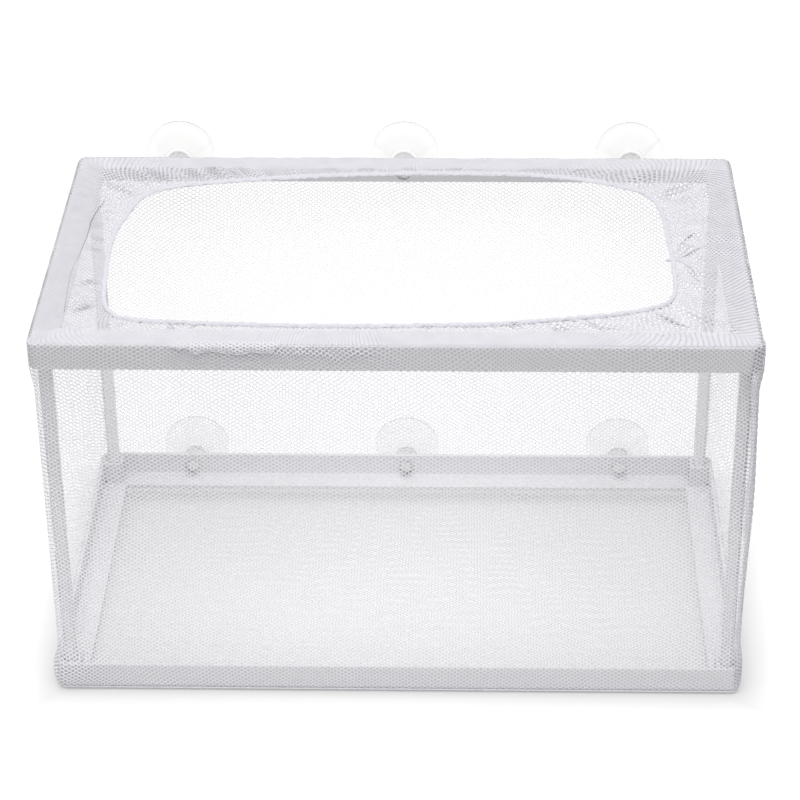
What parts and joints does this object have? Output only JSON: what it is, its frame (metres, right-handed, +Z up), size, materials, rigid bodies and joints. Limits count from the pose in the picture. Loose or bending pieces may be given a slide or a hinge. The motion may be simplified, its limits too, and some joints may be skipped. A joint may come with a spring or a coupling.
{
  "type": "fish breeding box",
  "caption": "Net breeding box for fish fry: fine mesh over a frame of two rings and four posts, with an elastic mouth on top and suction cups behind.",
  "frame": {"origin": "centre of the underside of the net floor, under the middle of the frame", "axes": "+X along the length, to the right as seen from the front; +Y towards the suction cups at the back; +Z up, towards the mouth"},
  "size_m": [0.2654, 0.1695, 0.1707],
  "materials": {
    "frame_plastic": "satin white injection moulding",
    "net": "white knitted mesh with hexagonal holes",
    "hem_cloth": "folded white mesh over elastic",
    "elastic": "white covered elastic cord",
    "seam_thread": "white sewing thread",
    "cup_pvc": "clear soft PVC, glossy"
  },
  "bodies": {
    "box": {"top_frame": "frame_plastic", "bottom_frame": "frame_plastic", "post_front_left": "frame_plastic", "post_front_right": "frame_plastic", "post_back_left": "frame_plastic", "post_back_right": "frame_plastic", "net_front": "net", "net_back": "net", "net_left": "net", "net_right": "net", "net_floor": "net", "net_top": "net", "hem": "hem_cloth", "elastic_cord": "elastic", "corner_seam": "seam_thread", "floor_seam": "seam_thread"},
    "cup_top_left_body": {"cup_top_left": "cup_pvc"},
    "cup_top_middle_body": {"cup_top_middle": "cup_pvc"},
    "cup_top_right_body": {"cup_top_right": "cup_pvc"},
    "cup_bottom_left_body": {"cup_bottom_left": "cup_pvc"},
    "cup_bottom_middle_body": {"cup_bottom_middle": "cup_pvc"},
    "cup_bottom_right_body": {"cup_bottom_right": "cup_pvc"}
  },
  "joints": [
    {"name": "cup_top_left_spin", "type": "hinge", "parent": "box", "child": "cup_top_left_body", "pos_m": [-0.0925, 0.07625, 0.149], "axis": [0, 1, 0], "continuous": true},
    {"name": "cup_top_middle_spin", "type": "hinge", "parent": "box", "child": "cup_top_middle_body", "pos_m": [0, 0.07625, 0.149], "axis": [0, 1, 0], "continuous": true},
    {"name": "cup_top_right_spin", "type": "hinge", "parent": "box", "child": "cup_top_right_body", "pos_m": [0.0925, 0.07625, 0.149], "axis": [0, 1, 0], "continuous": true},
    {"name": "cup_bottom_left_spin", "type": "hinge", "parent": "box", "child": "cup_bottom_left_body", "pos_m": [-0.0925, 0.07625, 0.0063], "axis": [0, 1, 0], "continuous": true},
    {"name": "cup_bottom_middle_spin", "type": "hinge", "parent": "box", "child": "cup_bottom_middle_body", "pos_m": [0, 0.07625, 0.0063], "axis": [0, 1, 0], "continuous": true},
    {"name": "cup_bottom_right_spin", "type": "hinge", "parent": "box", "child": "cup_bottom_right_body", "pos_m": [0.0925, 0.07625, 0.0063], "axis": [0, 1, 0], "continuous": true}
  ]
}
